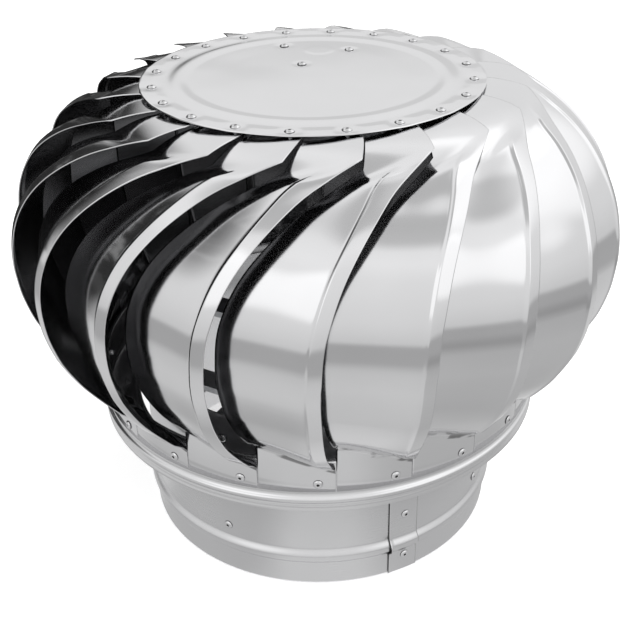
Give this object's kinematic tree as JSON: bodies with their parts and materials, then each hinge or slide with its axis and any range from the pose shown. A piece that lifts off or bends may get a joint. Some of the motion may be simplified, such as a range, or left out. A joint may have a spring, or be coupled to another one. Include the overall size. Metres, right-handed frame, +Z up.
{
  "type": "roof turbine ventilator",
  "caption": "Wind-driven roof ventilator: a domed rotor of swirled sheet-metal blades turns on a spindle in a round neck collar.",
  "frame": {"origin": "centre of the neck collar's bottom edge, on the rotor's axis", "axes": "+Z up along the spindle; the lap seam of the collar lies 21 degrees from -Y towards +X"},
  "size_m": [0.3204, 0.3204, 0.2511],
  "materials": {
    "blade_sheet": "bright annealed stainless sheet",
    "collar_sheet": "bright annealed stainless sheet",
    "cap_sheet": "bright annealed stainless sheet",
    "ring_sheet": "bright annealed stainless sheet",
    "rivet_metal": "plain blind rivets",
    "bracket_steel": "pressed steel, satin",
    "bearing_steel": "ground bearing steel",
    "turned_steel": "turned steel"
  },
  "bodies": {
    "base": {"neck_collar": "collar_sheet", "neck_seam_rivets": "rivet_metal", "lower_cross_bar_a": "bracket_steel", "lower_cross_bar_b": "bracket_steel", "upper_cross_bar_a": "bracket_steel", "upper_cross_bar_b": "bracket_steel", "bracket_rivets": "rivet_metal", "lower_bearing_cup": "bracket_steel", "upper_bearing_cup": "bracket_steel", "cup_rivets": "rivet_metal", "lower_outer_race": "bearing_steel", "upper_outer_race": "bearing_steel"},
    "rotor": {"blade_01": "blade_sheet", "blade_02": "blade_sheet", "blade_03": "blade_sheet", "blade_04": "blade_sheet", "blade_05": "blade_sheet", "blade_06": "blade_sheet", "blade_07": "blade_sheet", "blade_08": "blade_sheet", "blade_09": "blade_sheet", "blade_10": "blade_sheet", "blade_11": "blade_sheet", "blade_12": "blade_sheet", "blade_13": "blade_sheet", "blade_14": "blade_sheet", "blade_15": "blade_sheet", "blade_16": "blade_sheet", "blade_17": "blade_sheet", "blade_18": "blade_sheet", "blade_19": "blade_sheet", "blade_20": "blade_sheet", "bottom_ring": "ring_sheet", "cap_rivets": "rivet_metal", "collar_screw": "turned_steel", "hub_boss": "turned_steel", "hub_plate": "bracket_steel", "hub_rivets": "rivet_metal", "hub_screw": "turned_steel", "lower_inner_race": "bearing_steel", "ring_rivets": "rivet_metal", "spacer_tube": "turned_steel", "spindle": "turned_steel", "spindle_nut": "turned_steel", "spindle_washer": "turned_steel", "thrust_collar": "turned_steel", "top_cap": "cap_sheet", "upper_inner_race": "bearing_steel"}
  },
  "joints": [
    {"name": "rotor_spin", "type": "hinge", "parent": "base", "child": "rotor", "pos_m": [0, 0, 0.09], "axis": [0, 0, 1], "continuous": true}
  ]
}
